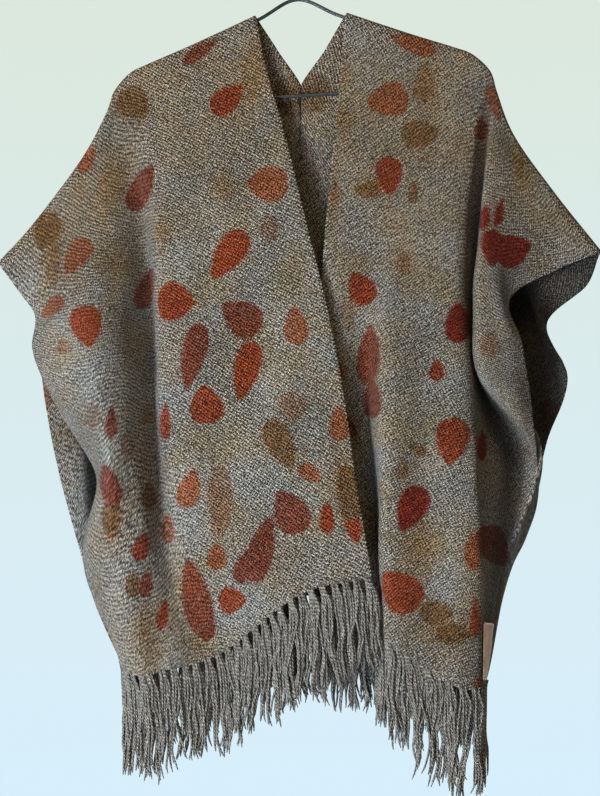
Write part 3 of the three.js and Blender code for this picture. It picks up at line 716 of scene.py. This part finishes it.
class Prints:
    """Leaf prints and stains on one length: the nearest print's edge, dye and strength, and the stain."""

    def __init__(self, length):
        self.u, self.v = length.u, length.v
        self.depth = length.grid[..., 1]
        self.across, self.down = photo_place(length.grid)
        self.edge = np.full(self.u.shape, NO_PRINT)
        self.dye = np.full(self.u.shape, 0.5)
        self.strength = np.zeros(self.u.shape)
        self.stain = np.zeros(self.u.shape)

    def in_sight(self, px, py, reach):
        """Offsets in mm as seen from the front, and the part of the front that lies near in depth."""
        across, down = self.across - px, self.down - py
        gap = np.hypot(across, down) + self.depth * NEARER_FIRST
        gap = gap + np.where(self.v < FRONT_FROM, 0, OFF_THE_FRONT)
        place = np.unravel_index(np.argmin(gap), gap.shape)
        part = (self.v < 0) & (np.abs(self.depth - self.depth[place]) < reach)
        return across * PX_MM, down * PX_MM, part

    def at_back(self, across, down):
        """Offsets in mm along the back's cloth, and the part that is the back."""
        return self.u - across, self.v - down, self.v > 0

    def lay(self, spot, long, wide, degrees, dye):
        """A leaf print, pointed at its tip and round at its base."""
        du, dv, part = spot
        angle = math.radians(degrees)
        way = (math.sin(angle), -math.cos(angle))
        along = (du * way[0] + dv * way[1]) / long + 0.5
        beside = np.abs(du * way[1] - dv * way[0])
        place = np.clip(1 - along, 0, 1)
        width = wide / 2 * place ** LEAF_SHAPE.tip * (1 - place) ** LEAF_SHAPE.base / LEAF_SHAPE.peak
        beyond = long * np.maximum(np.abs(along - 0.5) - 0.5, 0)
        near = np.where(part, width - np.hypot(beside, beyond), NO_PRINT)
        closer = near > self.edge
        self.edge[closer] = near[closer]
        self.dye[closer], self.strength[closer] = DYES[dye]

    def soak(self, spot, wide, high, amount):
        """A soft oval stain."""
        du, dv, part = spot
        blot = amount * np.exp(-((du / (0.5 * wide)) ** 2 + (dv / (0.5 * high)) ** 2))
        self.stain += np.where(part, blot, 0)

    def print_front(self, leaves, stains):
        for dye, places in leaves.items():
            for px, py, long, wide, degrees in places:
                self.lay(self.in_sight(px, py, LEAF_DEPTH), long * PX_MM, wide * PX_MM, degrees, dye)
        for px, py, wide, high, amount in stains:
            self.soak(self.in_sight(px, py, STAIN_DEPTH), wide * PX_MM, high * PX_MM, amount)

    def print_neck(self):
        for across, down, wide, high, amount in STAINS_NECK:
            self.soak(self.at_back(across, down), wide, high, amount)
        for dye, (across, down, long, wide, degrees) in LEAF_NECK.items():
            self.lay(self.at_back(across, down), long, wide, degrees, dye)

    def print_back(self, seed):
        draw = np.random.default_rng(seed)
        dyes = list(DYES)
        first, pitch = BY_CHANCE.first, BY_CHANCE.pitch
        for row in range(BY_CHANCE.rows):
            for column in range(BY_CHANCE.columns):
                across = first[0] + (column + draw.uniform(*BY_CHANCE.within)) * pitch[0]
                down = first[1] + (row + draw.uniform(*BY_CHANCE.within)) * pitch[1]
                degrees = draw.uniform(-BY_CHANCE.turn, BY_CHANCE.turn) + 180 * draw.integers(2)
                long, wide = draw.uniform(*BY_CHANCE.long), draw.uniform(*BY_CHANCE.wide)
                dye = dyes[draw.integers(len(dyes))]
                wide = min(wide, BY_CHANCE.roundest * long)
                self.lay(self.at_back(across, down), long, wide, degrees, dye)
                if draw.random() < BESIDE.share:
                    beside = self.at_back(across + BESIDE.across, down + BESIDE.down)
                    self.soak(beside, BESIDE.wide, BESIDE.high, BESIDE.amount)


def painted_shade_of(length, inside, source):
    """How much painted shade darkens the cloth at each point, in the right wing and the right gutter."""
    if length.side < 0:
        return np.zeros(len(source))
    column = int(np.argmin(np.abs(length.marks - GUTTER_SHADE.mark)))
    beside = (length.u - length.u[:, column:column + 1]).ravel()[source]
    across, down = length.u.ravel()[source], length.v.ravel()[source]
    # Painted shade on the wing's inner face, where the front of the wing overhangs it
    wing = smooth(across, *WING_SHADE.across) * smooth(down, *WING_SHADE.top)
    wing = wing * (1 - smooth(down, *WING_SHADE.end)) * WING_SHADE.amount
    # Painted shade along the deep gutter beside the flap, as in a dark crease
    gutter = np.exp(-(beside / np.interp(-down, GUTTER_SHADE.down, GUTTER_SHADE.spread)) ** 2)
    gutter = gutter * smooth(-down, *GUTTER_SHADE.top) * (1 - smooth(-down, *GUTTER_SHADE.end))
    return np.where(inside, wing, gutter * GUTTER_SHADE.amount)


# Pieces
def make_panel(name, length, leaves, stains, seed, material):
    """One woven length with its prints, which are fainter inside."""
    points, faces, source = shell(length.grid, length.normals, CLOTH_WALL)
    uvs = np.stack([length.u.ravel(), length.v.ravel()], -1)[source]
    piece = make_mesh(name, points, faces, material, uvs)
    total = length.grid.shape[0] * length.grid.shape[1]
    inside = np.zeros(len(points), bool)
    inside[total:2 * total] = True
    if length.side > 0:
        inside[:2 * total] = ~inside[:2 * total]
    prints = Prints(length)
    prints.print_front(leaves, stains)
    prints.print_neck()
    prints.print_back(seed)
    through = np.where(inside, SOAKS_THROUGH, 1)
    add_attribute(piece, "leaf_edge", prints.edge.ravel()[source])
    add_attribute(piece, "leaf_dye", prints.dye.ravel()[source])
    add_attribute(piece, "leaf_strength", prints.strength.ravel()[source] * through)
    add_attribute(piece, "stain", np.minimum(prints.stain.ravel()[source] * through, 1))
    # Painted shade for the hollows of the right wing and the right gutter
    add_attribute(piece, "painted_shade", painted_shade_of(length, inside, source))
    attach(piece, "root")
    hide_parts(name)
    return piece


# Tufts: their places on the hem, how each strays, leans and sways, and how its yarns part into bunches
FRINGE = Named(tufts=27, margin=4.0, hem_step=3)
TUFT = Named(stray=0.12, lean=(1.5, 4.5), uneven=(-10, 6), wave=5, wave_over=34, sway=3.0, sway_power=1.6,
             bunches=3, parting=0.34, drift=0.24, curl=3.5)
# Yarns: how each turns down from the cloth, is gathered at the knot, comes loose, strays and thins out
YARN = Named(turn_down=14.0, start=2.0, uneven=(-12, 4), lean_over=22, knot_at=6, knot_half=9, gap=1.6,
             loose=(14, 70), stray=0.5, end_stray=3.0, depth_stray=0.7, end_depth=2.4, depth=6,
             thick=(1.15, 1.5), thinner=0.3, tip=0.5, sides=6)
# How full a tuft is along the hem at its root, and how much the knot gathers it there
GATHER = Named(full=0.98, knot=0.5)
# Crinkles: height and length for one radian
BUNCH_WAVE = (1.5, 11)
YARN_WAVE = (0.7, (4, 7))
DEPTH_WAVE = (1.2, 13)
# Two layers of yarns in a tuft: how far apart, and how close in the knot
LAYERS = Named(apart=2.2, in_knot=0.4)
# Random phases, up to a whole turn
PHASES = (0, 6.3)
YARN_STEPS = np.linspace(0, 1, 22) ** 1.25
TIP_FROM = 0.99


def along_hem(spot, run, values):
    """Points or directions given along a hem, read at one spot of it."""
    return np.array([np.interp(spot, run, values[:, k]) for k in range(3)])


class Tuft:
    """One tuft: its root on the hem, the directions there, and what its yarns share."""

    def __init__(self, draw, hem, spot, lean_way, long, share):
        run, edge, fall, self.pitch = hem
        step = FRINGE.hem_step
        self.root, self.out = along_hem(spot, run, edge), along_hem(spot, run, fall)
        ahead = along_hem(spot + step, run, edge) - along_hem(spot - step, run, edge)
        ahead /= norm(ahead)
        self.level = ahead * (1, 1, 0) / max(norm(ahead[:2]), TINY)
        self.facing = np.cross((0, 0, 1), self.level)
        self.lean = lean_way * draw.uniform(*TUFT.lean)
        self.long = (long + draw.uniform(*TUFT.uneven)) * share
        self.sway = draw.normal(0, TUFT.sway)
        self.drift = draw.normal(0, TUFT.drift, TUFT.bunches) * self.pitch
        self.curl = draw.normal(0, TUFT.curl, TUFT.bunches)
        self.phase = draw.uniform(*PHASES, TUFT.bunches)

    def yarn(self, draw, number, count):
        """A yarn as the points and faces of a tube, with how far round and along it each point lies."""
        steps, bunches = YARN_STEPS, TUFT.bunches
        bunch = number % bunches
        reach = steps * (self.long + draw.uniform(*YARN.uneven))
        knot = np.exp(-((reach - YARN.knot_at) / YARN.knot_half) ** 2)
        loose = smooth(reach, *YARN.loose)
        stiff = YARN.turn_down * (1 - np.exp(-reach / YARN.turn_down))
        path = self.root + np.outer(stiff - YARN.start, self.out) + np.outer(reach - stiff, (0, 0, -1))
        even = ((number + 0.5) / count - 0.5) * self.pitch
        within = (number // bunches - (count / bunches - 1) / 2) * YARN.gap
        apart = (bunch - 1) * TUFT.parting * self.pitch + self.drift[bunch] + within
        apart = apart + draw.normal(0, YARN.stray)
        side = even * (GATHER.full - GATHER.knot * knot) * (1 - loose) + apart * loose
        side += self.lean * smooth(reach, 0, YARN.lean_over)
        side += self.sway * steps ** TUFT.sway_power + self.curl[bunch] * steps**3
        side += BUNCH_WAVE[0] * loose * np.sin(reach / BUNCH_WAVE[1] + self.phase[bunch])
        crinkle = reach / draw.uniform(*YARN_WAVE[1])
        side += YARN_WAVE[0] * loose * np.sin(crinkle + draw.uniform(*PHASES))
        side += draw.normal(0, YARN.end_stray) * steps**8
        layer = LAYERS.in_knot + (1 - LAYERS.in_knot) * (1 - knot)
        front = draw.normal(0, YARN.depth_stray) + LAYERS.apart * (number % 2 - 0.5) * layer
        front += DEPTH_WAVE[0] * np.sin(reach / DEPTH_WAVE[1] + self.phase[bunch] * 2) * loose
        front += draw.normal(0, YARN.end_depth) * steps**2
        front = np.clip(front, -YARN.depth, YARN.depth)
        path = path + np.outer(side, self.level) + np.outer(front, self.facing)
        radii = draw.uniform(*YARN.thick) * (1 - YARN.thinner * steps**10)
        radii = radii * np.where(steps > TIP_FROM, YARN.tip, 1)
        sides = YARN.sides
        around = np.tile(np.arange(sides) / sides, len(path))
        return tube(path, radii, sides), np.stack([around, np.repeat(reach, sides)], -1)


def make_fringe(name, length, hem, before, yarns, long, outer, seed, material):
    """Tufts of yarns, which leave the hem gathered and then part into thin bunches."""
    draw = np.random.default_rng(seed)
    edge = length.grid[hem]
    fall = edge - length.grid[before]
    fall /= norm(fall, axis=1)[:, None]
    run = length.u[hem]
    spots = np.linspace(FRINGE.margin, run[-1] - FRINGE.margin, FRINGE.tufts)
    pitch = spots[1] - spots[0]
    outermost = spots[-2] + pitch / 2
    phase = draw.uniform(*PHASES)
    strays = draw.uniform(-TUFT.stray, TUFT.stray, len(spots)) * pitch
    tubes, uvs = [], []
    for spot in spots + strays:
        wave = TUFT.wave * math.sin(spot / TUFT.wave_over + phase)
        share = outer if spot > outermost else 1
        tuft = Tuft(draw, (run, edge, fall, pitch), spot, length.side, long + wave, share)
        for number in range(yarns):
            more, places = tuft.yarn(draw, number, yarns)
            tubes.append(more)
            uvs.append(places)
    points, faces = joined_tubes(tubes)
    piece = make_mesh(name, points, faces, material, np.vstack(uvs))
    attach(piece, "root")
    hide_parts(name)
    return piece


def make_label(length, material):
    """The leather tab on the outer strip of the right front, lifted from that strip's own points."""
    down, wide = LABEL.points
    rows = np.linspace(*LABEL.rows, down) / SPANS
    wanted = np.linspace(*LABEL.across, wide)
    across = np.array([[[np.interp(w, length.marks, row[:, k]) for k in range(3)] for w in wanted]
                       for row in length.grid])
    grid = np.array([[[np.interp(s, length.steps, across[:, c, k]) for k in range(3)] for c in range(wide)]
                     for s in rows])
    lift = CLOTH_WALL / 2 + LABEL.lift
    points, faces, _ = shell(grid, normals_of(grid), LABEL.thickness, -lift)
    piece = make_mesh("label", points, faces, material)
    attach(piece, "root")
    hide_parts("label")
    return piece


def make_hanger(material):
    """One coated wire: frame, lower bar, twist and hook, with smooth bends."""
    x, _, z = tilted(0, 0)
    radius, last_angle = HOOK.radius, 90 + HOOK.tail_angle
    centre_z = WIRE.radius - radius
    arc = [(radius * math.cos(angle), 0, centre_z + radius * math.sin(angle))
           for angle in np.radians(np.linspace(HOOK.first_angle, last_angle, 15))]
    hook = Spline([(x, 0, z - 1), (x, 0, z + HOOK.neck)] + arc).at(np.linspace(0, 1, 120))
    turns = np.linspace(0, TWIST.turns, 90)
    reach, angles = WIRE.radius * TWIST.reach, 2 * math.pi * turns
    rise = z + TWIST.lift + turns * TWIST.pitch
    twist = np.stack([x + reach * np.cos(angles), reach * np.sin(angles), rise], -1)
    bar = np.linspace(left_side[-1], right_side[-1], 12)
    loop = np.vstack([frame_loop.at(np.linspace(0, 1, 220)), bar[-2:0:-1]])
    tubes = [tube(path, WIRE.radius, WIRE.sides) for path in (loop, hook)]
    tubes.append(tube(twist, WIRE.radius, TWIST.sides))
    points, faces = joined_tubes(tubes)
    piece = make_mesh("hanger_wire", points, faces, material)
    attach(piece, "root")
    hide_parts("hanger")
    return piece


left = Length(-1, LEFT_DROOP, LEFT_FRONT, LEFT_BACK)
right = Length(1, RIGHT_DROOP, RIGHT_FRONT, RIGHT_BACK)
cloth, yarn = wool_cloth(), wool_yarn()
panels = {
    "left": make_panel("panel_left", left, LEAVES_LEFT, STAINS_LEFT, 11, cloth),
    "right": make_panel("panel_right", right, LEAVES_RIGHT, STAINS_RIGHT, 23, cloth),
}
tab = make_label(right, leather())
make_hanger(coated_wire())
# Each side, how long its outermost front tuft is beside the others, and its random seed
for name, length, outer, seed in (("left", left, 0.6, 5), ("right", right, 1.0, 9)):
    last = length.grid.shape[0] - 1
    trims = [
        make_fringe("fringe_front_" + name, length, 0, 1, 9, 116, outer, seed, yarn),
        make_fringe("fringe_back_" + name, length, last, last - 1, 6, 102, 1.0, seed + 1, yarn),
    ]
    if name == "right":
        trims.append(tab)


# Floor, light and camera
FLOOR = Named(radius=1700, z=-1560, sides=96, colour=(0.78, 0.79, 0.78, 1), roughness=0.8)
# Lights, in metres: place, size, power and colour
LIGHTS = {
    "key": ((-1.8, -2.0, -0.8), 0.7, 82, (0.82, 0.90, 1.0)),
    "low": ((-0.6, -1.4, -1.6), 0.8, 60, (0.48, 0.63, 1.0)),
    "warm": ((0.3, -2.0, 1.7), 1.0, 24, (1.0, 0.83, 0.58)),
    "back left": ((-1.4, 2.2, 0.6), 1.4, 44, (1.0, 0.98, 0.95)),
    "back right": ((1.6, 2.0, 0.2), 1.4, 30, (0.9, 0.95, 1.0)),
}
LIT_POINT = (0, 0, -0.5)
# The room's colour by how far up a direction points, and its strength by how far back, from -1 to 1
ROOM_COLOUR = [(-0.25, (0.70, 0.86, 0.97)), (0.22, (0.73, 0.81, 0.74))]
ROOM_STRENGTH = [(0.5, (0.1, 0.1, 0.1)), (0.95, (0.83, 0.83, 0.83))]
EXPOSURE = 0.3
GAMMA = 0.87


def make_floor():
    """A plain pale floor, well below the garment."""
    turn = np.linspace(0, 2 * math.pi, FLOOR.sides, endpoint=False)
    ring = [(FLOOR.radius * math.cos(a), FLOOR.radius * math.sin(a), FLOOR.z) for a in turn]
    n = Nodes("pale_floor")
    n.finish(FLOOR.colour, {"Roughness": FLOOR.roughness})
    floor = make_mesh("floor", ring, [list(range(FLOOR.sides))], n.material, smooth_faces=False)


def add_light(name, place, size, power, colour):
    """A square area light that faces the middle of the garment."""
    data = bpy.data.lights.new(name, "AREA")
    data.size, data.energy, data.color = size, power, colour
    lamp = add_object(name, data)
    lamp.location = place
    way = np.array(LIT_POINT) - np.array(place)
    tip = math.acos(-way[2] / norm(way))
    lamp.rotation_euler = (tip, 0, math.atan2(way[1], way[0]) - math.pi / 2)


def make_room():
    """A pale room, brighter behind the garment and cooler towards the floor."""
    room = bpy.data.worlds.new("pale_room")
    room.use_nodes = True
    tree = room.node_tree
    shade = tree.nodes["Background"]
    where = tree.nodes.new("ShaderNodeSeparateXYZ")
    tree.links.new(tree.nodes.new("ShaderNodeTexCoord").outputs["Generated"], where.inputs[0])
    for output, socket, stops in (("Z", "Color", ROOM_COLOUR), ("Y", "Strength", ROOM_STRENGTH)):
        spread = tree.nodes.new("ShaderNodeMapRange")
        for side, (place, _) in zip(("From Min", "From Max"), stops):
            spread.inputs[side].default_value = place
        ramp = tree.nodes.new("ShaderNodeValToRGB")
        for element, (_, colour) in zip(ramp.color_ramp.elements, stops):
            element.color = (*colour, 1)
        tree.links.new(where.outputs[output], spread.inputs["Value"])
        tree.links.new(spread.outputs[0], ramp.inputs[0])
        tree.links.new(ramp.outputs[0], shade.inputs[socket])
    bpy.context.scene.world = room


make_floor()
make_room()
for name, (place, size, power, colour) in LIGHTS.items():
    add_light(name, place, size, power, colour)
view = bpy.context.scene.view_settings
view.view_transform = "Standard"
view.exposure, view.gamma = EXPOSURE, GAMMA

camera_data = bpy.data.cameras.new("camera")
camera_data.sensor_fit = "VERTICAL"
camera_data.angle = 2 * math.atan(PHOTO_HIGH / 2 * PX_MM / SIGHT)
camera = add_object("camera", camera_data)
camera.location = [c * MM for c in EYE]
camera.rotation_euler = (math.pi / 2, 0, 0)
bpy.context.scene.camera = camera
